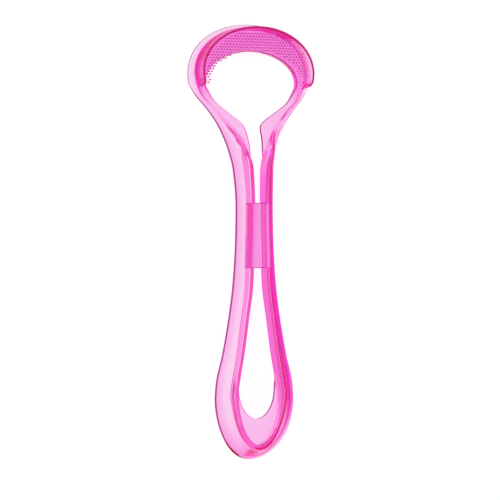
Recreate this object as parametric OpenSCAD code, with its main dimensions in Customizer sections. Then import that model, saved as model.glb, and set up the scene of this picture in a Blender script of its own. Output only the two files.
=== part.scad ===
// Tongue scraper moulded in one piece, lying on its back with the pins up.
// X runs across it, Y from the tail to the head, and Z up from the surface.
// The scraping head is a crescent plate with a standing rim and a field of pins.

/* [Overall] */
// Length from the tail to the back edge of the head
overall_l = 160.3; // [145:0.1:175]
// Width of the handle at its waist, over the back edges of the walls
waist_w = 16; // [14.4:0.1:17.6]
// Height from the back plane to the front plane of the handle
handle_d = 5.2; // [4.8:0.1:5.6]
// Height of the handle's back plane above the surface that it lies on
handle_raise = 3.6; // [3.2:0.1:4]

/* [Tail] */
// Width of the tail at its widest
tail_w = 33.6; // [31:0.1:36]
// Distance from the tail end to its widest place
tail_wide_y = 23; // [21:0.1:25]
// Width of the tail's ring inside the bars
tail_ring_w = 18.6; // [17.8:0.1:20]
// Distance from the tail end to the widest place of the ring
tail_ring_y = 26; // [25:0.1:27]
// Distance from the tail end to the ring's front ridge
tail_ring_end = 5.4; // [5:0.1:6.2]
// Width of the hole above the tail floor
hole_w = 15.2; // [13:0.1:16.2]
// Distance from the tail end to the edge of the hole
hole_end = 15.1; // [13:0.1:17]

/* [Handle] */
// Clear gap between the two bars at the waist
gap_w = 4.4; // [4:0.05:5]
// Width of a bar on the front of the handle
bar_w = 2.2; // [1.9:0.05:2.5]
// Width of the ridge round the tail, on the front
ridge_w = 1.8; // [1.5:0.05:2.1]
// Thickness of the sloping outer wall, measured level
wall_t = 1.25; // [1.1:0.05:1.4]
// Distance that a bar stops short of the back plane
bar_short = 0.25; // [0.15:0.05:0.6]
// Length of the bridge between the bars
bridge_l = 24; // [18:0.1:28]
// Distance from the tail end to the near end of the bridge
bridge_y = 70.5; // [66:0.1:74]
// Thickness of the bridge
bridge_t = 2; // [1.6:0.1:2.6]

/* [Webs] */
// Thickness of the webs: the tail floor, the shoulders and the head plate
web_t = 1.2; // [1.1:0.05:1.4]
// Height of the middle of the webs on the straight handle
web_z = 5.7; // [5.4:0.1:6]
// Distance from the tail end to the inner corner of a shoulder
corner_y = 122.2; // [120:0.1:124]
// Half the clear width between the two inner corners
corner_x = 3.35; // [2.8:0.05:3.9]

/* [Head] */
// Width of the head over the back edge of its wall
head_w = 51.8; // [48:0.1:56]
// Distance from the tip of the head to its widest place
head_cap = 18.8; // [17.8:0.1:20]
// Distance from the back edge of the wall to the root of the rim, at the sides
head_wall_run = 3.2; // [2.6:0.1:3.8]
// Distance from the back edge of the wall to the root of the rim, at the tip
rim_inset = 1; // [0.7:0.05:1.6]
// Radial width of the crescent plate at the sides
crescent_side = 3.4; // [3:0.1:4.4]
// Radial width of the crescent plate at the tip
crescent_l = 9; // [8:0.1:10]
// Height of the opening's curved top above its widest place
open_cap = 11.3; // [10.3:0.1:12]
// Height of the middle of the web where the head begins
plate_z = 1.7; // [1.5:0.05:2.1]
// Angle at which the plate rises towards the tip
plate_rise = 1; // [0.4:0.1:2]

/* [Rim] */
// Height of the rim above the plate
rim_h = 6; // [5.2:0.1:6.4]
// Angle at which the rim's edge falls towards the tip
rim_fall = 0.5; // [0.2:0.1:1.5]
// Thickness of the rim at its root
rim_t = 1.2; // [0.9:0.05:1.5]
// Thickness of the rim's scraping edge
rim_edge_t = 0.8; // [0.5:0.05:1]
// Distance that the rim leans outwards
rim_lean = 0.2; // [0:0.05:0.6]
// Radius of the rounded corners at the ends of the rim
rim_corner_r = 2.7; // [1.5:0.1:3.5]

/* [Pins] */
// Height of a pin above the plate
pin_h = 4.4; // [3.4:0.1:4.8]
// Thickness of a pin
pin_d = 0.7; // [0.56:0.02:0.76]
// Distance between pins in a row
pin_pitch = 1.28; // [1.1:0.02:1.5]
// Distance between rows of pins
row_pitch = 1.02; // [0.9:0.02:1.2]
// Least distance from a pin's middle to the edge of its bed
pin_margin = 0.35; // [0.35:0.05:0.7]
// Thickness of the bed that carries the pins
bed_t = 0.5; // [0.3:0.05:0.6]

/* [Hidden] */

plastic = [0.95, 0.36, 0.72];
pin_plastic = [0.92, 0.45, 0.76];

// Angles, counts and the squareness of the head's outline
head_start = -10;
head_power = 2.1;
tail_steps = 14;
arm_steps = 30;
neck_steps = 24;
head_steps = 50;
corner_steps = 5;
close_steps = 2;
sectors = 5;
pin_sides = 4;

// Least width that a web keeps where it runs out against a bar
web_least = 0.3;
// Height of the bead that the ridge fades into along a strut
bead_h = 0.35;
// Clearance between a bed of pins and the step of the plate beside it
bed_gap = 0.05;
// Depth that a pin is rooted in its bed
bed_sink = 0.1;
// Radius of the rounded front edges of the bars
edge_r = 0.4;
// Part of an edge radius that its middle point stands in from the corner
round_share = 0.3;
// Part of a bar's width that is left at its back
bar_foot_share = 0.7;
// Height of the upright edge that the sloping wall ends in along the handle
wall_edge = 1;
// Height of the flange behind the rim, at the rim's root and at its own edge
flange_z = 0.95;
flange_edge = 0.4;
// Extra distance of the first row of pins from the edge of the opening
row_clear = 0.02;
// Parts of the length at which the waist and the necks lie
waist_share = 0.54;
neck_share = 0.674;
// Part of the ring's length beyond its widest place at which the floor's horns end
horn_share = 0.45;
// Angle round the tail over which the bar runs out into the ridge
run_out = 40;
// Places in the neck's rows where the bar has run out, where the web starts to fill the wall's
// back and has filled it, and where the slope starts and has ended turning upright
bar_out_row = 1.4;
fill_rows = [0.7, 3];
turn_rows = [2.5, 6];
// Where the filled back of the neck is divided
fill_shares = [0.9, 0.6, 0.3];
// Sharpness with which the tail's back comes down at its end
back_power = 4;
// Depth of the bridge's front below the front plane
bridge_drop = 0.6;

front_z = handle_raise + handle_d;
web_half = web_t / 2;
waist_y = waist_share * overall_l;
neck_y = neck_share * overall_l;
rim_w = head_w - 2 * head_wall_run;
open_w = rim_w - 2 * crescent_side;
head_y = overall_l - head_cap;
open_y = overall_l - rim_inset - crescent_l - open_cap;
// Where the floor's horns run out along the bars
floor_top = tail_ring_y + horn_share * (tail_ring_y - tail_ring_end);

// Lower arm, from the tail to the waist: how far along, the outer edge, the bar's inner side,
// and the height of the back
lower_shares = [
    [0.00, 1.000, 1.000, 1],
    [0.11, 0.910, 0.800, 1],
    [0.24, 0.655, 0.590, 1],
    [0.43, 0.378, 0.350, 1],
    [0.62, 0.170, 0.110, 1],
    [0.81, 0.050, 0.050, 1],
    [1.00, 0.000, 0.000, 1],
];
// Upper arm, from the waist to the neck: the same
upper_shares = [
    [0.5, 0.000, 0.000, 0.97],
    [1.0, 0.042, 0.035, 0.73],
];
// Neck below the inner corner: how far along, the outer edge, the inner edge
neck_shares = [
    [0.42, 0.120, 0.800],
    [0.74, 0.207, 0.900],
];
// Neck from the inner corner to the head: outer edge along and across, inner edge the same
strut_shares = [
    [0.050, 0.341, 0.000, 0.000],
    [0.273, 0.475, 0.162, 0.118],
    [0.495, 0.637, 0.392, 0.444],
    [0.717, 0.821, 0.649, 0.776],
];
// Heights along the neck: web, ridge above the web, back edge, slope and width of the ridge, and how
// far the web has thickened down to the back
neck_height_shares = [
    [1.00, 1.00, 0.73, 1.00, 1.00, 0.00],
    [0.95, 0.90, 0.47, 1.00, 0.95, 0.00],
    [0.68, 0.60, 0.28, 1.06, 0.90, 0.00],
    [0.25, 0.26, 0.25, 0.98, 0.75, 0.00],
    [0.05, 0.10, 0.20, 0.88, 0.50, 0.00],
    [0.00, 0.00, 0.12, 0.77, 0.25, 0.15],
    [0.00, 0.00, 0.05, 0.70, 0.10, 0.50],
    [0.00, 0.00, 0.00, 0.81, 0.00, 1.00],
];

function mix(a, b, t) = a + (b - a) * t;

// Rises evenly from 0 to 1 with soft ends while v goes from a to b
function soft_step(a, b, v) =
    let (t = min(1, max(0, (v - a) / (b - a))))
    t * t * (3 - 2 * t);

// Smooth curve through a list of rows, read at a place from 0 to the last row
function row_at(rows, place) =
    let (last = len(rows) - 1)
    let (i = min(floor(place), last - 1))
    let (f = place - i)
    let (b = rows[i])
    let (c = rows[i + 1])
    let (a = i > 0 ? rows[i - 1] : 2 * b - c)
    let (d = i + 2 <= last ? rows[i + 2] : 2 * c - b)
    b + ((c - a) * f + (2 * a - 5 * b + 4 * c - d) * f * f + (3 * b - a - 3 * c + d) * f * f * f) / 2;

function signed_pow(v, p) = sign(v) * pow(abs(v), p);

// Curves of the head, at an angle measured from its right-hand side
function head_curve(half_w, cap, a) = [
    half_w * signed_pow(cos(a), 2 / head_power),
    head_y + cap * signed_pow(sin(a), 2 / head_power)];
function head_outer(a) = head_curve(head_w / 2, head_cap, a);
function rim_root(a) = head_curve(rim_w / 2, head_cap - rim_inset, a);
function open_edge(a) = [open_w / 2 * cos(a), open_y + open_cap * sin(a)];

// Curves of the tail, at an angle measured from its right-hand side
function tail_outer(a) = [tail_w / 2 * cos(a), tail_wide_y * (1 + sin(a))];
function tail_inner(a) = [tail_ring_w / 2 * cos(a), tail_ring_y + (tail_ring_y - tail_ring_end) * sin(a)];
function hole_edge(a) = [hole_w / 2 * cos(a), tail_ring_y + (tail_ring_y - hole_end) * sin(a)];

// Height of the tail's back, and how far the bar has run out, at the same angle
function tail_back(a) = handle_raise * (1 - pow(sin(a), back_power));
function tail_short(a) = soft_step(0, run_out, abs(a + 90) < 90 ? min(-a, 180 + a) : 0);

// Rows of the right arm: across and along, for the outer edge and for the bar's inner side, and
// the height of the back
arm_rows = concat(
    [for (r = lower_shares) [
        mix(waist_w, tail_w, r[1]) / 2, mix(tail_wide_y, waist_y, r[0]),
        mix(gap_w, tail_ring_w, r[2]) / 2, mix(tail_ring_y, waist_y, r[0]), handle_raise * r[3]]],
    [for (r = upper_shares) [
        mix(waist_w, head_w, r[1]) / 2, mix(waist_y, neck_y, r[0]),
        mix(gap_w, open_w, r[2]) / 2, mix(waist_y, neck_y, r[0]), handle_raise * r[3]]]);
arm_end = arm_rows[len(arm_rows) - 1];
head_from = concat(head_outer(head_start), open_edge(head_start));

// Rows of the right neck: the same, with the inner edge of its web
neck_rows = concat(
    [[arm_end[0], arm_end[1], arm_end[2] - web_least, arm_end[3]]],
    [for (r = neck_shares) [
        mix(waist_w, head_w, r[1]) / 2, mix(neck_y, corner_y, r[0]),
        corner_x * r[2], mix(neck_y, corner_y, r[0])]],
    [for (r = strut_shares) [
        mix(waist_w, head_w, r[1]) / 2, mix(corner_y, head_from[1], r[0]),
        mix(corner_x, head_from[2], r[3]), mix(corner_y, head_from[3], r[2])]],
    [head_from]);
slope_run = arm_end[0] - arm_end[2] - bar_w;
ridge_full = front_z - web_z - web_half;
neck_heights = [for (r = neck_height_shares) [
    mix(plate_z, web_z, r[0]), mix(bead_h, ridge_full, r[1]), handle_raise * r[2],
    slope_run * r[3], mix(rim_t, bar_w, r[4]), r[5]]];

// A section is drawn in the upright plane from its inner point to its outer point
function place(inner, outer, u, z) =
    let (p = inner + (outer - inner) * u / norm(outer - inner))
    [p[0], p[1], z];

// Section of the loop: a bar on the inside, which runs out where short is 1, and a sloping wall
function loop_ring(inner, outer, w, back, short) =
    let (reach = norm(outer - inner))
    let (foot = w * bar_foot_share)
    let (apex = front_z - (foot - w + wall_t) / (reach - w) * (front_z - back))
    let (leg = mix(back + bar_short, web_z - web_half, short))
    let (r = edge_r)
    [for (q = [
        [0, leg], [0, front_z - r], [r * round_share, front_z - r * round_share], [r, front_z],
        [w - r, front_z], [w - r * round_share, front_z - r * round_share], [w + r * round_share, front_z - r],
        [reach, back + wall_edge], [reach, back], [reach - wall_t, back], [foot, apex], [foot, leg]])
        place(inner, outer, q[0], q[1])];

// Section of the neck: a web, a ridge and a bar that fade upwards, and the sloping wall
function neck_ring(inner, outer, h, row) =
    let (reach = norm(outer - inner))
    let (short = soft_step(0, bar_out_row, row))
    let (fill = soft_step(fill_rows[0], fill_rows[1], row))
    let (turn = soft_step(turn_rows[0], turn_rows[1], row))
    let (web_top = h[0] + web_half)
    let (top = web_top + h[1])
    let (back = max(0, h[2]))
    let (web_back = mix(h[0] - web_half, back, min(1, max(0, h[5]))))
    let (slope_u = reach - h[3])
    let (bar_u = slope_u - h[4])
    let (filled = slope_u + h[3] * (top - web_back) / (top - back) - wall_t)
    let (groove = mix(filled, slope_u - rim_t, turn))
    let (foot = bar_u + h[4] * bar_foot_share)
    let (apex = front_z - (foot - slope_u + wall_t) / h[3] * (front_z - back))
    let (leg = mix(back + bar_short, web_back, short))
    [for (q = [
        [0, web_back], [0, web_top], [bar_u, web_top], [bar_u, top], [slope_u, top],
        [mix(slope_u + h[3] / 2, slope_u, turn), mix((top + back + wall_edge) / 2, flange_z, turn)],
        [reach, back + mix(wall_edge, flange_edge, turn)], [reach, back],
        [mix(reach - wall_t, slope_u - rim_t, turn), back],
        [mix(foot, groove * fill_shares[0], fill), mix(apex, web_back, fill)],
        [mix(foot, groove * fill_shares[1], fill), mix(leg, web_back, fill)],
        [mix(bar_u, groove * fill_shares[2], fill), mix(leg, web_back, fill)]])
        place(inner, outer, q[0], q[1])];

// Height of the middle of the web over the head, at a distance along the object
function plate_at(y) = plate_z + tan(plate_rise) * (y - head_from[3]);
function on_plate(inner, outer, u, rise) =
    let (p = place(inner, outer, u, 0))
    [p[0], p[1], plate_at(p[1]) + rise];
function rim_u(a) = norm(rim_root(a) - open_edge(a));

// Section of the head: the solid plate, the step beside the pins, and the flange behind the rim
function head_ring(a) =
    let (inner = open_edge(a))
    let (outer = head_outer(a))
    let (reach = norm(outer - inner))
    let (root = rim_u(a))
    concat(
        [place(inner, outer, 0, 0)],
        [for (q = [
            [0, web_half - bed_t], [root - rim_t, web_half - bed_t], [root - rim_t, web_half], [root, web_half]])
            on_plate(inner, outer, q[0], q[1])],
        [for (q = [[root, flange_z], [reach, flange_edge], [reach, 0]])
            place(inner, outer, q[0], q[1])]);

// Section of the rim at an angle, with a height of its own
function rim_ring(a, h) =
    let (inner = open_edge(a))
    let (outer = head_outer(a))
    let (root = rim_u(a))
    let (lean = rim_lean * h / rim_h)
    let (edge = mix(rim_t, rim_edge_t, h / rim_h))
    [for (q = [[root - rim_t, 0], [root + lean - edge, h], [root + lean, h], [root, 0]])
        on_plate(inner, outer, q[0], web_half + q[1])];

// Brings the object's middle over the origin
module seated() {
    translate([0, -overall_l / 2, 0])
        children();
}

// Closed skin over a row of sections with the same number of points
module loft(rings) {
    n = len(rings[0]);
    m = len(rings);
    first = [for (j = [0:n - 1]) j];
    final = [for (j = [n - 1:-1:0]) (m - 1) * n + j];
    sides = [for (i = [0:m - 2]) for (j = [0:n - 1])
        let (a = i * n + j)
        let (b = i * n + (j + 1) % n)
        each [[a, a + n, b], [b, a + n, b + n]]];
    polyhedron(points = [for (r = rings) each r], faces = concat([first], sides, [final]));
}

tail_angles = [for (k = [0:2 * tail_steps]) -180 + 90 * k / tail_steps];
tail_rings = [for (a = tail_angles)
    loop_ring(tail_inner(a), tail_outer(a), mix(ridge_w, bar_w, abs(cos(a))), tail_back(a), tail_short(a))];
arm_stations = [for (k = [0:arm_steps]) row_at(arm_rows, k / arm_steps * (len(arm_rows) - 1))];
arm_rings = [for (s = arm_stations) loop_ring([s[2], s[3]], [s[0], s[1]], bar_w, s[4], 0)];
neck_rings = [for (k = [0:neck_steps])
    let (t = k / neck_steps * (len(neck_rows) - 1))
    let (s = row_at(neck_rows, t))
    neck_ring([s[2], s[3]], [s[0], s[1]], row_at(neck_heights, t), t)];
head_angles = [for (k = [0:head_steps]) head_start + (180 - 2 * head_start) * k / head_steps];
head_rings = [for (a = head_angles) head_ring(a)];

// Inner side of the right bar, as pairs for lookup by distance along the object
bar_side = [for (s = arm_stations) [s[3], s[2]]];

module tail_loop() {
    color(plastic)
        seated()
            loft(tail_rings);
}

// The floor runs up both arms as two thinning horns
module tail_floor() {
    horn = [for (s = arm_stations) if (s[3] < floor_top) s];
    horn_edge = [for (s = horn)
        let (t = (s[3] - tail_ring_y) / (floor_top - tail_ring_y))
        [mix(hole_w / 2, lookup(floor_top, bar_side) - web_least, t * t * (3 - 2 * t)), s[3]]];
    tip = [[lookup(floor_top, bar_side), floor_top]];
    right_out = concat([for (a = tail_angles) if (a > -90) tail_inner(a)], [for (s = horn) [s[2], s[3]]], tip);
    right_in = concat([for (a = tail_angles) if (a > -90) hole_edge(a)], horn_edge);
    color(plastic)
        seated()
            translate([0, 0, web_z - web_half])
                linear_extrude(web_t)
                    polygon(concat(
                        flipped(reversed(right_out)), [tail_inner(-90)], right_out,
                        reversed(right_in), [hole_edge(-90)], flipped(right_in)));
}

function flipped(list) = [for (p = list) [-p[0], p[1]]];
function reversed(list) = [for (i = [len(list) - 1:-1:0]) list[i]];

module right_arm() {
    color(plastic)
        seated()
            loft(arm_rings);
}

module left_arm() {
    mirror([1, 0, 0])
        right_arm();
}

// The bridge fills the gap between the bars, in the front half of their depth
module bridge() {
    ends = [bridge_y, bridge_y + bridge_l];
    between = [for (p = bar_side) if (p[0] > ends[0] && p[0] < ends[1]) p[0]];
    right = [for (y = concat([ends[0]], between, [ends[1]])) [lookup(y, bar_side), y]];
    color(plastic)
        seated()
            translate([0, 0, front_z - bridge_drop - bridge_t])
                linear_extrude(bridge_t)
                    polygon(concat(right, flipped(reversed(right))));
}

module right_neck() {
    color(plastic)
        seated()
            loft(neck_rings);
}

module left_neck() {
    mirror([1, 0, 0])
        right_neck();
}

module head_plate() {
    color(plastic)
        seated()
            loft(head_rings);
}

// Height of the rim above the plate at an angle; it is rounded down at its ends
function rim_height(a) =
    let (c = max(0, rim_corner_r - norm(rim_root(a) - rim_root(head_start))))
    let (closing = (tan(plate_rise) + tan(rim_fall)) * (rim_root(a)[1] - rim_root(head_start)[1]))
    rim_h - closing - rim_corner_r + sqrt(rim_corner_r * rim_corner_r - c * c);

// The rim's ends are rounded in a few closer sections
module scraper_rim() {
    step = (180 - 2 * head_start) / head_steps;
    near = [for (k = [0:close_steps * corner_steps]) k / corner_steps];
    further = [for (k = [close_steps + 1:head_steps / 2]) k];
    right = [for (k = concat(near, further)) rim_ring(head_start + k * step, rim_height(head_start + k * step))];
    left = [for (k = [len(right) - 2:-1:0]) [for (p = right[k]) [-p[0], p[1], p[2]]]];
    color(plastic)
        seated()
            loft(concat(right, left));
}

// Whether a point lies on the bed of pins, clear of its edges
function on_bed(p) =
    let (out_w = rim_w / 2 - rim_t - pin_margin)
    let (out_l = head_cap - rim_inset - rim_t - pin_margin)
    let (outer = pow(abs(p[0]) / out_w, head_power) + pow(abs(p[1] - head_y) / out_l, head_power))
    let (rise = max(0, p[1] - open_y) / (open_cap + pin_margin))
    let (across = p[0] / (open_w / 2 + pin_margin))
    outer < 1 && across * across + rise * rise > 1 && p[1] > head_from[1] + pin_margin;

// Side of a section line that a point lies on
function beyond(p, a) =
    let (inner = open_edge(a))
    let (d = head_outer(a) - inner)
    d * (p - inner) > 0 && d[0] * (p[1] - inner[1]) > d[1] * (p[0] - inner[0]);
function within(p, a, b) = beyond(p, a) && !beyond(p, b);

// Rows are counted both ways from the one beside the tip of the opening
first_row_y = open_y + open_cap + pin_margin + row_clear;
rows_below = ceil((first_row_y - head_from[1]) / row_pitch);
rows_above = ceil((overall_l - first_row_y) / row_pitch);
columns = ceil(head_w / 2 / pin_pitch);
pin_places = [for (j = [-rows_below:rows_above]) for (i = [-columns:columns])
    let (p = [(i + (j % 2) / 2) * pin_pitch, first_row_y + j * row_pitch])
    if (on_bed(p)) p];

// A bed of pins covers one sector of the crescent, numbered from the right
module pins(sector) {
    per = head_steps / sectors;
    angles = [for (k = [sector * per:(sector + 1) * per]) head_angles[k]];
    inner = [for (a = angles) open_edge(a)];
    outer = [for (a = angles)
        let (p = place(open_edge(a), head_outer(a), rim_u(a) - rim_t - bed_gap, 0))
        [p[0], p[1]]];
    edge = concat(inner, reversed(outer));
    low = head_from[3];
    color(pin_plastic)
        seated()
            translate([0, low, plate_z + web_half - bed_t])
                rotate([plate_rise, 0, 0]) {
                    linear_extrude(bed_t)
                        polygon([for (p = edge) [p[0], (p[1] - low) / cos(plate_rise)]]);
                    for (p = pin_places)
                        if (sector_of(p) == sector)
                            translate([p[0], (p[1] - low) / cos(plate_rise), bed_t - bed_sink])
                                cylinder(h = pin_h + bed_sink, d = pin_d, $fn = pin_sides);
                }
}

function sector_of(p) =
    let (per = head_steps / sectors)
    let (hits = [for (k = [0:sectors - 1]) if (within(p, head_angles[k * per], head_angles[(k + 1) * per])) k])
    hits[0];

module pins_right() {
    pins(0);
}

module pins_upper_right() {
    pins(1);
}

module pins_top() {
    pins(2);
}

module pins_upper_left() {
    pins(3);
}

module pins_left() {
    pins(4);
}

tail_loop();
tail_floor();
left_arm();
right_arm();
bridge();
left_neck();
right_neck();
head_plate();
scraper_rim();
pins_left();
pins_upper_left();
pins_top();
pins_upper_right();
pins_right();
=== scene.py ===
"""A tinted, see-through tongue scraper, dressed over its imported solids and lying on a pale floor.

Shapes are worked out in millimetres from the end of the tail, with the front upwards. mesh_object()
turns them into metres in the frame.
"""

import math

import bmesh
import bpy
import numpy as np
from mathutils import Matrix, Vector


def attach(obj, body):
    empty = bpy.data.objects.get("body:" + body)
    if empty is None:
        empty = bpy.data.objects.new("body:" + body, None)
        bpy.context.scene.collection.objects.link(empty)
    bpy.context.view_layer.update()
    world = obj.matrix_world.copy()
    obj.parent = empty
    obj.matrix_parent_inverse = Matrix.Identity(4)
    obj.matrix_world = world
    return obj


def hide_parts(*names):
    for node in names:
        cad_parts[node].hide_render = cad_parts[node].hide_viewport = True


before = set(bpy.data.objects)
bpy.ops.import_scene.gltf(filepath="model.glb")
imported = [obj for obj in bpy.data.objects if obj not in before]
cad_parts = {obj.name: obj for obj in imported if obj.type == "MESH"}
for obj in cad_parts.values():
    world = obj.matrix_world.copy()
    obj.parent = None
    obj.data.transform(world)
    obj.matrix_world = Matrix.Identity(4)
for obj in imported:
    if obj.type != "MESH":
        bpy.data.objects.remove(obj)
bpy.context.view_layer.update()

MM = 0.001

# The photograph: its side in pixels, a pixel's size in millimetres and the place of the object's middle
PICTURE = 500
MM_PER_PIXEL = 0.3695
MIDDLE_PIXEL = (248.6, 241.9)
SIDE_ANGLE = math.radians(30)
CAMERA_DISTANCE = 1.3
SENSOR = 36

# The whole: length, width at the waist, depth of the handle and rise of its back above the table
LENGTH = 160.3
WAIST_W = 15.6
HANDLE_D = 5.2
RAISE = 3.6

# The tail, the ring that its ridge follows and the hanging hole
TAIL_W = 33.2
TAIL_WIDE_Y = 23.0
RING_W = 18.6
RING_Y = 26.0
RING_END = 5.4
HOLE_W = 15.2
HOLE_END = 15.1
RIDGE_W = 1.8

# The arms: clear gap at the waist, bars, legs under the bars and sloping walls
GAP_W = 4.4
BAR_W = 2.2
BAR_SHORT = 0.9
FOOT_SHARE = 0.6
WALL_T = 1.25
TAIL_WALL_T = 1.8
STRUT_WALL_T = 2.5
WALL_EDGE = 1.0

# The bridge, with how far it reaches under the bars, its stations and the halvings that find the bars
BRIDGE_L = 24.0
BRIDGE_Y = 70.5
BRIDGE_T = 2.0
BRIDGE_DROP = 0.6
BRIDGE_HOLD = 2.4
BRIDGE_STEPS = 24
BRIDGE_SEARCH = 30
BRIDGE_R = 0.1
# Its eased end: distance from the end and how far the front has dropped there
BRIDGE_EDGE = [(0.0, 0.35), (0.08, 0.16), (0.2, 0.05), (0.4, 0.0)]

# The web in the handle, and the plate in the head with its slow rise
WEB_T = 1.2
WEB_Z = 5.7
PLATE_Z = 1.7
PLATE_RISE = math.radians(1)

# The neck: its inner corner, the low bead that the ridge fades to, the radius of the ridge's edges there
# and the width of the slope on its inner side
CORNER = (3.35, 122.2)
BEAD_H = 0.35
FOLD_EASE = 0.8
FOLD_SLOPE = 1.0

# The head: outline, opening, flange and the angle at which the head begins
HEAD_W = 51.8
HEAD_CAP = 18.8
HEAD_POWER = 2.1
HEAD_START = -10
OPEN_W = 38.6
OPEN_CAP = 11.3
CRESCENT = 9.0
FLANGE_Z = 0.95
FLANGE_EDGE = 0.4

# The scraping rim
RIM_W = 45.4
RIM_INSET = 1.0
RIM_H = 6.0
RIM_FALL = math.radians(0.5)
RIM_T = 1.2
RIM_EDGE_T = 0.8
RIM_LEAN = 0.2
RIM_CORNER_R = 2.7

# The pins: size, spacing and profile as height and share of the diameter
PIN_H = 4.4
PIN_D = 0.7
PIN_PITCH = 1.28
ROW_PITCH = 1.02
PIN_MARGIN = 0.35
PIN_SIDES = 10
PIN_PROFILE = [(-0.15, 0.62), (0.0, 0.6), (0.25, 0.53), (0.6 * PIN_H, 0.47), (PIN_H - 0.2, 0.42),
               (PIN_H - 0.07, 0.34), (PIN_H, 0.16)]
# How near the edge of the opening a pin may stand, where 1 is one margin from it
OPENING_LIMIT = 0.999
SECTORS = ["pins_right", "pins_upper_right", "pins_top", "pins_upper_left", "pins_left"]

FRONT_Z = RAISE + HANDLE_D
WAIST_Y = 0.54 * LENGTH
NECK_Y = 0.674 * LENGTH
HEAD_Y = LENGTH - HEAD_CAP
OPEN_Y = LENGTH - RIM_INSET - CRESCENT - OPEN_CAP
RIDGE_FULL = FRONT_Z - WEB_Z - WEB_T / 2
# Distance from the tail at which the web inside the tail has run out
FLOOR_TOP = RING_Y + 0.45 * (RING_Y - RING_END)

# Lower arm from the tail to the waist, and upper arm to the neck: along, outer edge, bar's inner
# side, height of the back
LOWER_SHARES = [(0.00, 1.000, 1.000, 1), (0.11, 0.910, 0.800, 1), (0.24, 0.655, 0.590, 1),
                (0.43, 0.378, 0.350, 1), (0.62, 0.170, 0.110, 1), (0.81, 0.050, 0.050, 1),
                (1.00, 0.000, 0.000, 1)]
UPPER_SHARES = [(0.5, 0.000, 0.000, 0.97), (1.0, 0.042, 0.035, 0.73)]
# Neck below the inner corner: along, outer edge, inner edge
NECK_SHARES = [(0.42, 0.120, 0.800), (0.74, 0.207, 0.900)]
# Neck above the corner: outer edge along and across, inner edge along and across
STRUT_SHARES = [(0.050, 0.341, 0.000, 0.000), (0.273, 0.475, 0.162, 0.118),
                (0.495, 0.637, 0.392, 0.444), (0.717, 0.821, 0.649, 0.776)]
# Heights on the neck, one row for each place along it: web, ridge above the web, back edge, run of the
# slope, width of the ridge and how far the web has thickened down to the surface
HEIGHT_SHARES = [(1.00, 1.00, 0.73, 1.00, 1.00, 0.00), (0.95, 0.84, 0.47, 1.00, 0.95, 0.00),
                 (0.68, 0.46, 0.28, 1.06, 0.90, 0.00), (0.25, 0.15, 0.25, 0.98, 0.75, 0.00),
                 (0.05, 0.04, 0.20, 0.88, 0.50, 0.00), (0.00, 0.00, 0.12, 0.77, 0.25, 0.00),
                 (0.00, 0.00, 0.05, 0.70, 0.10, 0.12), (0.00, 0.00, 0.00, 0.81, 0.00, 1.00)]

# Ranges over which one form turns into the next: in degrees round the tail, then in rows of the neck
TAIL_LEG_OUT = (0, -40)
TAIL_WALL_IN = (-5, -55)
NECK_LEG_OUT = (0, 1.4)
FOLD_IN = (0, 1.5)
NECK_SPREAD_IN = (0.3, 2.0)
STRUT_WALL_IN = (2.5, 5.0)
FLANGE_IN = (5.4, 7.0)
FOLD_OUT = (5.6, 7.0)

# Stations along the right half: in each region, and closer together where the rim's end rises
TAIL_STEPS = 40
ARM_STEPS = 90
NECK_STEPS = 70
RIM_END_STEPS = 40
RIM_END_STEP = 0.25
HEAD_STEPS = 70
SMOOTHING_PASSES = 4
# First station that the smoothing leaves as it is, and how many there are
KEPT_FROM = TAIL_STEPS + ARM_STEPS + NECK_STEPS - 2
KEPT_COUNT = 50

# Eased edges: points on each, radii, and the largest share of a side that an edge may take
ARC_POINTS = 4
EDGE_R = 0.3
BAR_EDGE_R = 0.35
HOLE_EDGE_R = 0.12
EDGE_STEP = 0.08
EASE_LIMIT = 0.45
# Where the leg's four corners lie across the underside once the leg has run out
LEG_SHARES = (1, 0.75, 0.5, 0.25)

# Corners of the section, counted from the inner edge, on which ends and edges are marked for painted shade,
# and the marks
OPENING_CORNERS = (0, 1)
CREST_CORNERS = (3, 4)
WALL_END_CORNER = 6
OPENING_MARK = 0.9
CREST_MARK = 0.7
BRIDGE_MARK = 0.55
# Distance of the ridge from the hole over which the hole's edge becomes marked for painted shade
HOLE_MARK_IN = (0.6, 1.4)
# Height of a pin's tip that is marked for painted shade
TIP_MARKED = 0.3

# Meshes: points merged within this distance in metres, angles from which an edge is sharp, and how much
# big faces count for in the normals
MERGED = 2e-6
SHARP_ANGLE = 35
PIN_SHARP_ANGLE = 50
FLAT_FACE_WEIGHT = 80


def mix(a, b, t):
    return a + (b - a) * t


def smooth(t):
    t = min(1.0, max(0.0, t))
    return t * t * (3 - 2 * t)


def over(span, x):
    """From 0 before a range to 1 after it."""
    return smooth((x - span[0]) / (span[1] - span[0]))


def ellipse(half_w, centre_y, half_l, a):
    return np.array([half_w * math.cos(math.radians(a)), centre_y + half_l * math.sin(math.radians(a))])


def head_curve(half_w, cap, a):
    """A point on the head's outline, which is a little squarer than an ellipse."""
    c, s = math.cos(math.radians(a)), math.sin(math.radians(a))
    power = 2 / HEAD_POWER
    return np.array([half_w * math.copysign(abs(c) ** power, c),
                     HEAD_Y + cap * math.copysign(abs(s) ** power, s)])


def head_outer(a):
    return head_curve(HEAD_W / 2, HEAD_CAP, a)


def rim_root(a):
    return head_curve(RIM_W / 2, HEAD_CAP - RIM_INSET, a)


def open_edge(a):
    return ellipse(OPEN_W / 2, OPEN_Y, OPEN_CAP, a)


def plate_at(y):
    """Height of the middle of the head's plate."""
    return PLATE_Z + math.tan(PLATE_RISE) * (y - open_edge(HEAD_START)[1])


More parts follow.
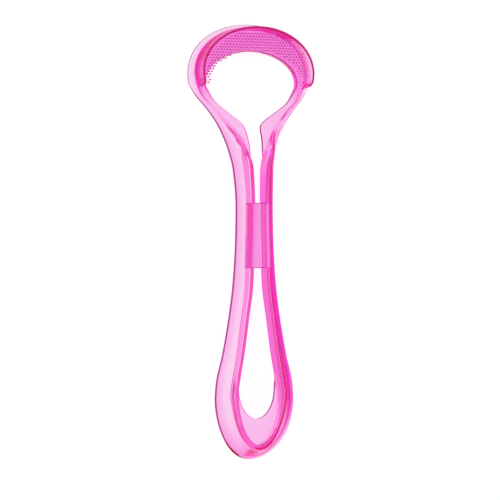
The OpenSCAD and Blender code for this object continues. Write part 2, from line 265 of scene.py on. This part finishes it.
def row_at(rows, place):
    """A smooth curve through rows of numbers, read at a place from 0 to the last row."""
    last = len(rows) - 1
    i = min(int(place), last - 1)
    f = place - i
    b, c = rows[i], rows[i + 1]
    a = rows[i - 1] if i > 0 else 2 * b - c
    d = rows[i + 2] if i + 2 <= last else 2 * c - b
    return b + ((c - a) * f + (2 * a - 5 * b + 4 * c - d) * f ** 2 + (3 * b - a - 3 * c + d) * f ** 3) / 2


def arm_rows():
    """Outer edge and bar's inner side, across and along, and height of the back, from tail to neck."""
    rows = [(mix(WAIST_W, TAIL_W, out) / 2, mix(TAIL_WIDE_Y, WAIST_Y, along),
             mix(GAP_W, RING_W, bar) / 2, mix(RING_Y, WAIST_Y, along), RAISE * back)
            for along, out, bar, back in LOWER_SHARES]
    rows += [(mix(WAIST_W, HEAD_W, out) / 2, mix(WAIST_Y, NECK_Y, along),
              mix(GAP_W, OPEN_W, bar) / 2, mix(WAIST_Y, NECK_Y, along), RAISE * back)
             for along, out, bar, back in UPPER_SHARES]
    return [np.array(row) for row in rows]


ARM_ROWS = arm_rows()
ARM_END = ARM_ROWS[-1]
HEAD_FROM = np.concatenate([head_outer(HEAD_START), open_edge(HEAD_START)])
SLOPE_RUN = ARM_END[0] - ARM_END[2] - BAR_W


def neck_rows():
    """Outer and inner edge, across and along, from the arm to the head."""
    rows = [ARM_END[:4]]
    rows += [np.array((mix(WAIST_W, HEAD_W, out) / 2, mix(NECK_Y, CORNER[1], along),
                       CORNER[0] * gap, mix(NECK_Y, CORNER[1], along)))
             for along, out, gap in NECK_SHARES]
    rows += [np.array((mix(WAIST_W, HEAD_W, out) / 2, mix(CORNER[1], HEAD_FROM[1], along),
                       mix(CORNER[0], HEAD_FROM[2], gap), mix(CORNER[1], HEAD_FROM[3], gap_along)))
             for along, out, gap_along, gap in STRUT_SHARES]
    return rows + [HEAD_FROM]


def neck_heights():
    return [np.array((mix(PLATE_Z, WEB_Z, web), mix(BEAD_H, RIDGE_FULL, ridge), RAISE * back,
                      SLOPE_RUN * run, mix(RIM_T, BAR_W, wide), solid))
            for web, ridge, back, run, wide, solid in HEIGHT_SHARES]


NECK_ROWS = neck_rows()
NECK_HEIGHTS = neck_heights()


class Station:
    """What the section needs at one place round the loop.

    ridge_u and slope_u are where the ridge and the slope start, measured across from the inner edge. web is
    the height of the web's middle, rise the ridge's height above the web's front and back the height of
    the back edge. Four shares go from 0 to 1: the leg under the bar runs out (short), its corners spread
    over the underside (leg), the slope turns into the flange (step) and the web reaches down to the back
    (solid). tilt is true where the web is the head's rising plate. lean moves the ridge's top outwards,
    and thin moves the inner edge of its top on its own. ease is the radius along the ridge and wall the
    thickness of the outer wall.
    """

    def __init__(self, inner, outer, ridge_u, slope_u, rise, back, short, web=0.0, leg=0.0, step=0.0,
                 solid=0.0, tilt=False, lean=0.0, thin=0.0, ease=BAR_EDGE_R, wall=WALL_T):
        self.inner = inner
        self.outer = outer
        self.ridge_u = ridge_u
        self.slope_u = slope_u
        self.rise = rise
        self.back = back
        self.short = short
        self.web = web
        self.leg = leg
        self.step = step
        self.solid = solid
        self.tilt = tilt
        self.lean = lean
        self.thin = thin
        self.ease = ease
        self.wall = wall


def with_floor(inner, outer, floor, bar, back, short=0.0, wall=WALL_T):
    """A section whose web reaches from the edge of the hole to the bar."""
    return Station(inner, outer, floor, floor + bar, RIDGE_FULL, back, short, web=WEB_Z, wall=wall)


def ring_distance(start, towards):
    """Distance from a point inside the ring to the ring, on the way to another point."""
    scale = np.array((RING_W / 2, RING_Y - RING_END))
    p = (start - np.array((0, RING_Y))) / scale
    d = (towards - start) / np.linalg.norm(towards - start) / scale
    a, b, c = np.dot(d, d), np.dot(p, d), np.dot(p, p) - 1
    return float((-b + math.sqrt(b * b - a * c)) / a)


def tail_station(a):
    """Right half of the tail, from its end at -90 degrees to its widest place at 0."""
    outer = ellipse(TAIL_W / 2, TAIL_WIDE_Y, TAIL_WIDE_Y, a)
    hole = ellipse(HOLE_W / 2, RING_Y, RING_Y - HOLE_END, a)
    wide = math.cos(math.radians(a))
    end = math.sin(math.radians(a)) ** 4
    return with_floor(hole, outer, ring_distance(hole, outer), mix(RIDGE_W, BAR_W, wide), RAISE * (1 - end),
                      over(TAIL_LEG_OUT, a), mix(WALL_T, TAIL_WALL_T, over(TAIL_WALL_IN, a)))


def arm_station(t):
    """The right arm from the tail, at 0, to the neck, at 1."""
    ax, ay, ix, iy, back = row_at(ARM_ROWS, t * (len(ARM_ROWS) - 1))
    hole = np.array((mix(HOLE_W / 2, ix, over((RING_Y, FLOOR_TOP), iy)), iy))
    outer = np.array((ax, ay))
    floor = float(np.dot(np.array((ix, iy)) - hole, outer - hole) / np.linalg.norm(outer - hole))
    return with_floor(hole, outer, max(0.0, floor), BAR_W, back)


def neck_station(t):
    """The right neck from the arm, at 0, to the head, at 1."""
    row = t * (len(NECK_ROWS) - 1)
    ax, ay, ix, iy = row_at(NECK_ROWS, row)
    web, rise, back, run, ridge, solid = row_at(NECK_HEIGHTS, row)
    slope_u = math.hypot(ax - ix, ay - iy) - run
    fold = over(FOLD_IN, row)
    return Station(np.array((ix, iy)), np.array((ax, ay)), max(0.0, slope_u - ridge), slope_u, rise,
                   max(0.0, back), over(NECK_LEG_OUT, row), web=web, leg=over(NECK_SPREAD_IN, row),
                   step=over(FLANGE_IN, row), solid=min(1.0, max(0.0, solid)),
                   thin=FOLD_SLOPE * fold * (1 - over(FOLD_OUT, row)),
                   ease=mix(BAR_EDGE_R, FOLD_EASE, fold),
                   wall=mix(WALL_T, STRUT_WALL_T, over(STRUT_WALL_IN, row)))


def rim_height(a):
    """The rim rises from its ends round a quarter circle."""
    d = np.linalg.norm(rim_root(a) - rim_root(HEAD_START))
    c = max(0.0, RIM_CORNER_R - d)
    closing = (math.tan(PLATE_RISE) + math.tan(RIM_FALL)) * (rim_root(a)[1] - rim_root(HEAD_START)[1])
    return RIM_H - closing - RIM_CORNER_R + math.sqrt(RIM_CORNER_R ** 2 - c * c)


def head_station(a):
    """The right half of the head, from its start to its tip at 90 degrees."""
    inner, outer = open_edge(a), head_outer(a)
    root = float(np.linalg.norm(rim_root(a) - inner))
    rise = rim_height(a)
    return Station(inner, outer, root - RIM_T, root, rise, 0.0, 1.0, leg=1.0, step=1.0, solid=1.0, tilt=True,
                   lean=RIM_LEAN * rise / RIM_H, thin=(RIM_T - RIM_EDGE_T) * rise / RIM_H)


def half_loop():
    """Stations down the right half, from the end of the tail to the tip of the head."""
    stations = [tail_station(-90 + 90 * k / TAIL_STEPS) for k in range(TAIL_STEPS)]
    stations += [arm_station(k / ARM_STEPS) for k in range(ARM_STEPS)]
    stations += [neck_station(k / NECK_STEPS) for k in range(NECK_STEPS)]
    stations += [head_station(HEAD_START + RIM_END_STEP * k) for k in range(RIM_END_STEPS)]
    stations += [head_station(k * 90 / HEAD_STEPS) for k in range(HEAD_STEPS + 1)]
    return stations


def rounded(corners):
    """Turns (u, z, radius) corners into an outline with the corners eased."""
    points = []
    for k, (u, z, r) in enumerate(corners):
        here = np.array((u, z))
        before = np.array(corners[k - 1][:2]) - here
        after = np.array(corners[(k + 1) % len(corners)][:2]) - here
        reach = min(r, EASE_LIMIT * np.linalg.norm(before), EASE_LIMIT * np.linalg.norm(after))
        start = here + before / max(1e-9, np.linalg.norm(before)) * reach
        end = here + after / max(1e-9, np.linalg.norm(after)) * reach
        for i in range(ARC_POINTS):
            t = i / (ARC_POINTS - 1)
            points.append((1 - t) ** 2 * start + 2 * t * (1 - t) * here + t * t * end)
    return points


def section(s):
    """The outline of the moulding at a station, as points in the room, in millimetres."""
    reach = float(np.linalg.norm(s.outer - s.inner))
    along = (s.outer - s.inner) / reach

    def middle(u):
        return plate_at((s.inner + along * u)[1]) if s.tilt else s.web

    def top(u):
        return middle(u) + WEB_T / 2

    def under(u):
        return mix(middle(u) - WEB_T / 2, s.back, s.solid)

    run = reach - s.slope_u
    crest = top(s.slope_u) + s.rise
    bend = (mix(s.slope_u + run / 2, s.slope_u, s.step), mix((crest + s.back) / 2, FLANGE_Z, s.step))
    lip = s.back + mix(WALL_EDGE, FLANGE_EDGE, s.step)
    foot = s.ridge_u + (s.slope_u - s.ridge_u) * FOOT_SHARE
    apex = FRONT_Z - (foot - s.slope_u + s.wall) / run * (FRONT_Z - s.back)
    leg_z = mix(s.back + BAR_SHORT, under(s.ridge_u), s.short)
    groove = s.slope_u + run * (crest - under(s.slope_u)) / (crest - s.back) - s.wall
    groove = mix(groove, s.slope_u - RIM_T, s.step)
    ease_in = mix(HOLE_EDGE_R, BAR_EDGE_R, s.solid)

    # The corners of the bar's leg, which move to places under the web where there is no leg
    leg = [(foot, apex), (foot, leg_z), (s.ridge_u, leg_z), (s.ridge_u, under(s.ridge_u))]
    leg = [(mix(u, groove * share, s.leg), mix(z, under(groove * share), s.leg), EDGE_R)
           for (u, z), share in zip(leg, LEG_SHARES)]
    corners = [
        (0, under(0) + EDGE_STEP, ease_in), (0, top(0) - EDGE_STEP, ease_in),
        (s.ridge_u, top(s.ridge_u), s.ease), (s.ridge_u + s.lean + s.thin, crest, s.ease),
        (s.slope_u + s.lean, crest, BAR_EDGE_R), (bend[0], bend[1], EDGE_R),
        (reach, lip, EDGE_R), (reach, s.back, EDGE_R),
        (mix(reach - s.wall, s.slope_u - RIM_T, s.step), s.back, EDGE_R)]
    return np.array([(*(s.inner + along * u), z) for u, z in rounded(corners + leg)])


def shade_marks(s, count):
    """Marks from 0 to 1 for painted shade on the faces round a section, and for the painted deep tint where
    they are seen from inside: edges of openings, rim's crest and wall's end.
    """
    hole = over(HOLE_MARK_IN, s.ridge_u) * (1 - s.solid)
    marks = []
    for k in range(count):
        corner, step = divmod(k, ARC_POINTS)
        on_arc = step < ARC_POINTS - 1
        if s.solid and corner in OPENING_CORNERS and on_arc:
            marks.append(OPENING_MARK * s.solid)
        elif corner == 0 or k == ARC_POINTS:
            marks.append(hole)
        elif s.tilt and corner in CREST_CORNERS and on_arc:
            marks.append(CREST_MARK)
        else:
            marks.append(float(corner == WALL_END_CORNER))
    return marks


def smoothed(rings, fixed):
    """Evens the loop out along its length, apart from the rings whose numbers are fixed."""
    for _ in range(SMOOTHING_PASSES):
        next_rings = 0.5 * rings + 0.25 * np.roll(rings, 1, 0) + 0.25 * np.roll(rings, -1, 0)
        next_rings[fixed] = rings[fixed]
        rings = next_rings
    return rings


def world_point(p):
    """From millimetres measured from the tail to metres in the frame."""
    return (p[0] * MM, (p[1] - LENGTH / 2) * MM, p[2] * MM)


def mesh_object(name, points, faces, sharp_angle=SHARP_ANGLE, ends=None):
    """An object in the scene; ends are the marks of its faces for the painted shade lines on ends and edges.
    """
    data = bpy.data.meshes.new(name)
    data.from_pydata([world_point(p) for p in points], [], faces)
    if ends is not None:
        data.attributes.new("shade_mark", "FLOAT", "FACE").data.foreach_set("value", ends)
    shape = bmesh.new()
    shape.from_mesh(data)
    bmesh.ops.remove_doubles(shape, verts=shape.verts, dist=MERGED)
    bmesh.ops.recalc_face_normals(shape, faces=shape.faces)
    shape.to_mesh(data)
    shape.free()
    data.shade_smooth()
    data.set_sharp_from_angle(angle=math.radians(sharp_angle))
    made = bpy.data.objects.new(name, data)
    bpy.context.scene.collection.objects.link(made)
    return made


def apply_modifiers(piece):
    graph = bpy.context.evaluated_depsgraph_get()
    data = bpy.data.meshes.new_from_object(piece.evaluated_get(graph))
    piece.modifiers.clear()
    piece.data = data


def joined(base, extra):
    """One closed skin round both shapes."""
    cut = base.modifiers.new("join", "BOOLEAN")
    cut.operation = "UNION"
    cut.solver = "EXACT"
    cut.object = extra
    apply_modifiers(base)
    bpy.data.objects.remove(extra)
    base.data.set_sharp_from_angle(angle=math.radians(SHARP_ANGLE))
    return base


def flat_faces_kept(piece):
    """Weights the normals by area, so that the small eased edges don't bend the look of big faces."""
    weighting = piece.modifiers.new("weighting", "WEIGHTED_NORMAL")
    weighting.mode = "FACE_AREA"
    weighting.weight = FLAT_FACE_WEIGHT
    weighting.keep_sharp = True
    apply_modifiers(piece)
    return piece


def skin(rings, closed):
    """Faces over rings of points; an open row of rings gets flat ends."""
    m, n = len(rings), len(rings[0])
    faces = []
    for i in range(m if closed else m - 1):
        for j in range(n):
            a, b = i * n + j, i * n + (j + 1) % n
            c, d = (i + 1) % m * n + (j + 1) % n, (i + 1) % m * n + j
            faces.append((a, b, c, d))
    if not closed:
        faces.append(tuple(range(n - 1, -1, -1)))
        faces.append(tuple((m - 1) * n + j for j in range(n)))
    return [tuple(p) for ring in rings for p in ring], faces


def moulding_loop():
    """The tail, arms, necks, head, rim and webs as one unbroken skin, as they are moulded."""
    stations = half_loop()
    right = np.array([section(s) for s in stations])
    left = right[-2:0:-1] * np.array((-1, 1, 1))
    rings = np.concatenate([right, left])
    fixed = list(range(KEPT_FROM, KEPT_FROM + KEPT_COUNT))
    fixed += [len(rings) - i for i in fixed]
    points, faces = skin(smoothed(rings, fixed), True)
    # Marks for the painted shade lines, mirrored for the left half
    marks = [shade_marks(s, len(rings[0])) for s in stations]
    marks += marks[-2:0:-1]
    return mesh_object("moulding", points, faces, ends=[mark for row in marks for mark in row])


def bar_side(y):
    """Half the clear gap between the bars at a distance from the tail."""
    low, high = 0.0, 1.0
    for _ in range(BRIDGE_SEARCH):
        middle = (low + high) / 2
        if arm_station(middle).inner[1] < y:
            low = middle
        else:
            high = middle
    return arm_station(low).inner[0]


def bridge_bar():
    """The plate between the arms, reaching under both bars so that it joins them."""
    middle = [(BRIDGE_L * k / BRIDGE_STEPS, 0.0) for k in range(1, BRIDGE_STEPS)]
    far = [(BRIDGE_L - along, drop) for along, drop in reversed(BRIDGE_EDGE)]
    rings = []
    for along, drop in BRIDGE_EDGE + middle + far:
        y = BRIDGE_Y + along
        x = bar_side(y) + BRIDGE_HOLD
        front = FRONT_Z - BRIDGE_DROP - drop
        back = FRONT_Z - BRIDGE_DROP - BRIDGE_T + drop
        corners = [(-x, front, BRIDGE_R), (x, front, BRIDGE_R), (x, back, BRIDGE_R), (-x, back, BRIDGE_R)]
        rings.append([(u, y, z) for u, z in rounded(corners)])
    points, faces = skin(rings, False)
    # The eased ends of the plate and its end faces are marked for painted shade lines
    strips = len(rings) - 1
    turned = len(BRIDGE_EDGE) - 1
    marks = [BRIDGE_MARK if min(i, strips - 1 - i) < turned else 0.0
             for i in range(strips) for _ in rings[0]]
    return mesh_object("bridge_bar", points, faces, ends=marks + 2 * [BRIDGE_MARK])


def on_bed(x, y):
    """Whether a pin fits between the opening, the rim and the ends of the head."""
    out_w = RIM_W / 2 - RIM_T - PIN_MARGIN
    out_l = HEAD_CAP - RIM_INSET - RIM_T - PIN_MARGIN
    outer = abs(x / out_w) ** HEAD_POWER + abs((y - HEAD_Y) / out_l) ** HEAD_POWER
    rise = max(0.0, y - OPEN_Y) / (OPEN_CAP + PIN_MARGIN)
    across = x / (OPEN_W / 2 + PIN_MARGIN)
    return outer < 1 and across ** 2 + rise ** 2 > OPENING_LIMIT and y > HEAD_FROM[1] + PIN_MARGIN


def beyond(p, a):
    """Whether a place lies to the left of the line across the crescent at an angle."""
    inner = open_edge(a)
    d = head_outer(a) - inner
    return d[0] * (p[1] - inner[1]) > d[1] * (p[0] - inner[0])


def pin_places():
    """Staggered rows of pins over the whole crescent."""
    first = OPEN_Y + OPEN_CAP + PIN_MARGIN
    below, above = math.ceil(CRESCENT * 2 / ROW_PITCH), math.ceil(CRESCENT / ROW_PITCH)
    columns = math.ceil(HEAD_W / 2 / PIN_PITCH)
    for j in range(-below, above + 1):
        for i in range(-columns, columns + 1):
            x, y = (i + (j % 2) / 2) * PIN_PITCH, first + j * ROW_PITCH
            if on_bed(x, y):
                yield np.array((x, y))


def pin_rings(x, y):
    """A tapered pin with a domed tip, square to the plate."""
    base = plate_at(y) + WEB_T / 2
    rings = []
    for h, share in PIN_PROFILE:
        r = PIN_D * share
        turns = [2 * math.pi * k / PIN_SIDES for k in range(PIN_SIDES)]
        rings.append([(x + r * math.cos(turn), y + r * math.sin(turn) - h * math.sin(PLATE_RISE), base + h)
                      for turn in turns])
    return rings


def pin_field(number):
    """The pins of one sector of the crescent, numbered from the right."""
    wide = (180 - 2 * HEAD_START) / len(SECTORS)
    start, end = HEAD_START + wide * number, HEAD_START + wide * (number + 1)
    points, faces, tips = [], [], []
    for p in pin_places():
        if beyond(p, start) and not beyond(p, end):
            more, sides = skin(pin_rings(*p), False)
            # A pin's tip is marked for painted shade, a dark dot
            tip = plate_at(p[1]) + WEB_T / 2 + PIN_H - TIP_MARKED
            tips += [float(min(more[k][2] for k in face) > tip) for face in sides]
            faces += [tuple(k + len(points) for k in face) for face in sides]
            points += more
    return mesh_object(SECTORS[number] + "_fine", points, faces, PIN_SHARP_ANGLE, tips)


class Wire:
    """A value socket that takes part in arithmetic; each operation adds a Math node."""

    def __init__(self, finish, socket):
        self.finish = finish
        self.socket = socket

    def math(self, operation, *values):
        made = self.finish.node("ShaderNodeMath", {"operation": operation}, dict(enumerate(values)))
        return Wire(self.finish, made.outputs[0])

    def __add__(self, other):
        return self.math("ADD", self, other)

    def __radd__(self, other):
        return self.math("ADD", other, self)

    def __sub__(self, other):
        return self.math("SUBTRACT", self, other)

    def __rsub__(self, other):
        return self.math("SUBTRACT", other, self)

    def __mul__(self, other):
        return self.math("MULTIPLY", self, other)

    def __rmul__(self, other):
        return self.math("MULTIPLY", other, self)

    def __lt__(self, other):
        return self.math("LESS_THAN", self, other)

    def __gt__(self, other):
        return self.math("GREATER_THAN", self, other)

    def __abs__(self):
        return self.math("ABSOLUTE", self)

    def clamped(self):
        return self.math("MAXIMUM", self.math("MINIMUM", self, 1.0), 0.0)


class Finish:
    """Builds the nodes of a material or of the world. node() adds any node with its settings and inputs."""

    def __init__(self, owner):
        owner.use_nodes = True
        owner.node_tree.nodes.clear()
        self.owner = owner
        self.tree = owner.node_tree

    def node(self, kind, settings=None, inputs=None):
        made = self.tree.nodes.new(kind)
        for key, value in (settings or {}).items():
            setattr(made, key, value)
        for key, value in (inputs or {}).items():
            self.feed(made.inputs[key], value)
        return made

    def feed(self, socket, value):
        if isinstance(value, Wire):
            self.tree.links.new(value.socket, socket)
        elif isinstance(value, bpy.types.NodeSocket):
            self.tree.links.new(value, socket)
        else:
            socket.default_value = value

    def value(self, kind, output, settings=None, inputs=None):
        return Wire(self, self.node(kind, settings, inputs).outputs[output])

    def across(self, value, span, start, end):
        """From start to end, along a smooth curve, while a value crosses a range."""
        return self.value("ShaderNodeMapRange", "Result", {"interpolation_type": "SMOOTHSTEP"}, {
            "Value": value, "From Min": span[0], "From Max": span[1], "To Min": start, "To Max": end})

    def light(self, kind, colour, strength):
        return self.node(kind, None, {"Color": colour, "Strength": strength}).outputs[0]

    def let_through(self, tint):
        """Light that goes straight on, tinted."""
        return self.node("ShaderNodeBsdfTransparent", None, {"Color": tint}).outputs[0]

    def layered(self, share, under, upper):
        return self.node("ShaderNodeMixShader", None, {0: share, 1: under, 2: upper}).outputs[0]


WHITE = (1, 1, 1, 1)

# The plastic: its skin's faint cloud of two tints, and the colour that light loses on its way through
PLASTIC_TINT = (1.0, 0.965, 0.99, 1)
PLASTIC_TINT_DEEP = (1.0, 0.93, 0.98, 1)
CLOUD_SCALE = 60.0
CLOUD_ROUGHNESS = 0.04
GRAIN_DEPTH = 0.0002
ABSORB_TINT = (0.96, 0.0, 0.75, 1)
ABSORB_DENSITY = 520
PIN_DENSITY = 130
SHADOW_TINT = (0.97, 0.62, 0.87, 1)
# Painted shade: dark lines on the ends of the walls and on marked edges
EDGE_SHADE_TINT = (0.42, 0.09, 0.36, 1)
# A painted deep tint, standing for light that has run along inside the walls, where they are seen at grazing
# sight; less in the head and at the tail's end. The places are in metres along the object
GRAZE_TINT = (0.97, 0.04, 0.8, 1)
GRAZE_FROM = 0.24
GRAZE_FULL = 0.6
GRAZE_IN_HEAD = 0.2
GRAZE_IN_TAIL = 0.2
HEAD_FADE_Y = (0.022, 0.036)
TAIL_FADE_Y = (-0.076, -0.056)
# The same painted deep tint on the rim's foot: how much, the heights over which it fades, the places up and
# along from which it shows, and how far a face may lean to count as upright
RIM_FOOT = 0.6
RIM_FOOT_Z = (0.0035, 0.0058)
RIM_FROM_Z = 0.0024
RIM_FROM_Y = 0.045
UPRIGHT = 0.5
# A surface seen directly has a smaller Ray Depth than this
DIRECT_DEPTH = 0.5
# A painted glow standing for light still on its way inside the plastic after many reflections
TRAPPED_GLOW = (0.95, 0.3, 0.8, 1)
TRAPPED_AFTER = 4.5


def polished_skin(f, place, rough, grain, bump, ior):
    """The surface itself: clear, with a faint cloud in its tint and polish, and a fine grain."""
    cloud = f.value("ShaderNodeTexNoise", "Fac", None, {
        "Vector": place, "Scale": CLOUD_SCALE, "Detail": 2.0})
    fine = f.value("ShaderNodeTexNoise", "Fac", None, {"Vector": place, "Scale": grain, "Detail": 3.0})
    tint = f.node("ShaderNodeMix", {"data_type": "RGBA"}, {0: cloud, 6: PLASTIC_TINT, 7: PLASTIC_TINT_DEEP})
    relief = f.node("ShaderNodeBump", None, {"Strength": bump, "Distance": GRAIN_DEPTH, "Height": fine})
    return f.node("ShaderNodeBsdfPrincipled", None, {
        "Base Color": tint.outputs[2], "Roughness": rough + CLOUD_ROUGHNESS * cloud, "IOR": ior,
        "Transmission Weight": 1.0, "Normal": relief.outputs[0]}).outputs[0]


def graze_tint_share(f, place):
    """How much of a surface gets the painted deep tint that stands for light run along inside the wall
    behind it.
    """
    spot = f.node("ShaderNodeSeparateXYZ", None, {"Vector": place})
    length, height = Wire(f, spot.outputs["Y"]), Wire(f, spot.outputs["Z"])
    normal = f.node("ShaderNodeNewGeometry").outputs["Normal"]
    lies = f.value("ShaderNodeSeparateXYZ", "Z", None, {"Vector": normal})
    facing = f.value("ShaderNodeLayerWeight", "Facing", None, {"Blend": 0.5})
    grazing = ((facing - GRAZE_FROM) * (1 / (GRAZE_FULL - GRAZE_FROM))).clamped()
    grazing = grazing * f.across(length, HEAD_FADE_Y, 1.0, GRAZE_IN_HEAD)
    grazing = grazing * f.across(length, TAIL_FADE_Y, GRAZE_IN_TAIL, 1.0)
    # The rim's upright foot also gets the painted deep tint, fading out with height
    on_rim = (1 - (abs(lies) > UPRIGHT)) * (length > RIM_FROM_Y) * (height > RIM_FROM_Z)
    return grazing + on_rim * f.across(height, RIM_FOOT_Z, RIM_FOOT, 0.0)


def clear_plastic(name, rough, grain, bump, ior, density, edge_shade, graze):
    """Tinted clear plastic: the colour is in the depth of the material and the skin is polished, with a
    painted deep tint, painted shade lines and a painted glow laid over it.
    """
    f = Finish(bpy.data.materials.new(name))
    place = f.node("ShaderNodeTexCoord").outputs["Object"]
    path = f.node("ShaderNodeLightPath")
    ray_depth = Wire(f, path.outputs["Ray Depth"])
    front = 1 - f.value("ShaderNodeNewGeometry", "Backfacing")
    shade_mark = f.value("ShaderNodeAttribute", "Fac", {"attribute_name": "shade_mark"})
    # Share of the painted deep tint: on faces seen directly at grazing sight, and on marked faces seen from
    # inside
    along = graze_tint_share(f, place) * front * (ray_depth < DIRECT_DEPTH) + shade_mark * (1 - front)

    surface = polished_skin(f, place, rough, grain, bump, ior)
    # A painted deep tint standing for light run along inside the walls
    surface = f.layered((along * graze).clamped(), surface, f.let_through(GRAZE_TINT))
    # Painted shade: dark lines on marked ends and edges
    surface = f.layered(shade_mark * front * edge_shade, surface, f.let_through(EDGE_SHADE_TINT))
    # A painted glow where a ray has been reflected many times inside
    glow = f.light("ShaderNodeEmission", TRAPPED_GLOW, 1.0)
    surface = f.layered(ray_depth > TRAPPED_AFTER, surface, glow)
    surface = f.layered(path.outputs["Is Shadow Ray"], surface, f.let_through(SHADOW_TINT))
    depth = f.node("ShaderNodeVolumeAbsorption", None, {"Color": ABSORB_TINT, "Density": density})
    f.node("ShaderNodeOutputMaterial", None, {"Surface": surface, "Volume": depth.outputs[0]})
    return f.owner


# The floor's own shade, and how white it is to the camera and to looks through or off the plastic
FLOOR_SHADE = (0.9, 0.9, 0.9, 1)
FLOOR_WHITE = 0.85
FLOOR_THROUGH = 0.6
FLOOR_REACH = 2000
FLOOR_DROP = 0.00002
# The studio's brightness overhead, and the heights of the sky over which it falls to that
OVERHEAD = 0.4
OVERHEAD_FROM = (0.25, 0.75)


def pale_floor():
    """A pale floor that the camera, reflections and looks through the plastic see as white."""
    f = Finish(bpy.data.materials.new("pale_floor"))
    path = f.node("ShaderNodeLightPath")
    through = Wire(f, path.outputs["Is Glossy Ray"]) + Wire(f, path.outputs["Is Transmission Ray"])
    seen = (Wire(f, path.outputs["Is Camera Ray"]) * FLOOR_WHITE + through * FLOOR_THROUGH).clamped()
    matt = f.node("ShaderNodeBsdfDiffuse", None, {"Color": FLOOR_SHADE}).outputs[0]
    surface = f.layered(seen, matt, f.light("ShaderNodeEmission", WHITE, 1.0))
    f.node("ShaderNodeOutputMaterial", None, {"Surface": surface})
    return f.owner


def make_floor():
    corners = [(-1, -1), (1, -1), (1, 1), (-1, 1)]
    floor = mesh_object("floor", [(x * FLOOR_REACH, y * FLOOR_REACH, 0) for x, y in corners], [(0, 1, 2, 3)])
    floor.location.z = -FLOOR_DROP
    floor.data.materials.append(pale_floor())


def make_world():
    """A plain pale studio: white round the horizon and dimmer overhead."""
    f = Finish(bpy.data.worlds.new("studio"))
    way = f.node("ShaderNodeTexCoord").outputs["Generated"]
    height = f.value("ShaderNodeSeparateXYZ", "Z", None, {"Vector": way})
    through = Wire(f, f.node("ShaderNodeLightPath").outputs["Is Transmission Ray"])
    dimmer = f.across(height, OVERHEAD_FROM, 0.0, 1.0) * (1 - through)
    sky = f.layered(dimmer, f.light("ShaderNodeBackground", WHITE, 1.0),
                    f.light("ShaderNodeBackground", WHITE, OVERHEAD))
    f.node("ShaderNodeOutputWorld", None, {"Surface": sky})
    bpy.context.scene.world = f.owner


def area_light(name, place, size, power):
    """A square lamp that looks at the object and doesn't show in its gloss."""
    lamp = bpy.data.lights.new(name, "AREA")
    lamp.size = size
    lamp.energy = power
    made = bpy.data.objects.new(name, lamp)
    made.location = place
    made.rotation_mode = "QUATERNION"
    made.rotation_quaternion = (-Vector(place)).to_track_quat("-Z", "Y")
    made.visible_glossy = False
    bpy.context.scene.collection.objects.link(made)


def make_camera():
    """The photograph's view: from 30 degrees to the left of the front, with a long lens."""
    data = bpy.data.cameras.new("camera")
    data.sensor_width = SENSOR
    data.lens = SENSOR * CAMERA_DISTANCE / (PICTURE * MM_PER_PIXEL * MM)
    data.clip_end = 10
    made = bpy.data.objects.new("camera", data)
    back = Vector((-math.sin(SIDE_ANGLE), 0, math.cos(SIDE_ANGLE)))
    right = Vector((math.cos(SIDE_ANGLE), 0, math.sin(SIDE_ANGLE)))
    up = Vector((0, 1, 0))
    off_x = (PICTURE / 2 - MIDDLE_PIXEL[0]) * MM_PER_PIXEL * MM
    off_y = (PICTURE / 2 - MIDDLE_PIXEL[1]) * MM_PER_PIXEL * MM
    target = right * off_x - up * off_y
    made.matrix_world = Matrix.Translation(target + back * CAMERA_DISTANCE) @ Matrix(
        (right, up, back)).transposed().to_4x4()
    bpy.context.scene.collection.objects.link(made)
    bpy.context.scene.camera = made


def dress(piece, material, slot, *nodes):
    piece.data.materials.clear()
    piece.data.materials.append(material)
    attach(piece, "root")
    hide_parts(*nodes)


make_camera()
make_floor()
make_world()
area_light("key", place=(-0.7, 0.6, 0.9), size=0.8, power=16)
area_light("fill", place=(0.3, -0.9, 0.7), size=0.8, power=8)
bpy.context.scene.view_settings.view_transform = "Standard"

plastic = clear_plastic("polished_plastic", rough=0.03, grain=900.0, bump=0.05, ior=1.47,
                        density=ABSORB_DENSITY, edge_shade=0.9, graze=0.9)
pin_plastic = clear_plastic("pin_plastic", rough=0.1, grain=1500.0, bump=0.1, ior=1.2,
                            density=PIN_DENSITY, edge_shade=0.65, graze=0.0)

moulding = flat_faces_kept(joined(moulding_loop(), bridge_bar()))
dress(moulding, plastic, "plastic", "tail_loop", "tail_floor", "left_arm", "right_arm", "bridge",
      "left_neck", "right_neck", "head_plate", "scraper_rim")
for sector, name in enumerate(SECTORS):
    dress(pin_field(sector), pin_plastic, "pin_plastic", name)
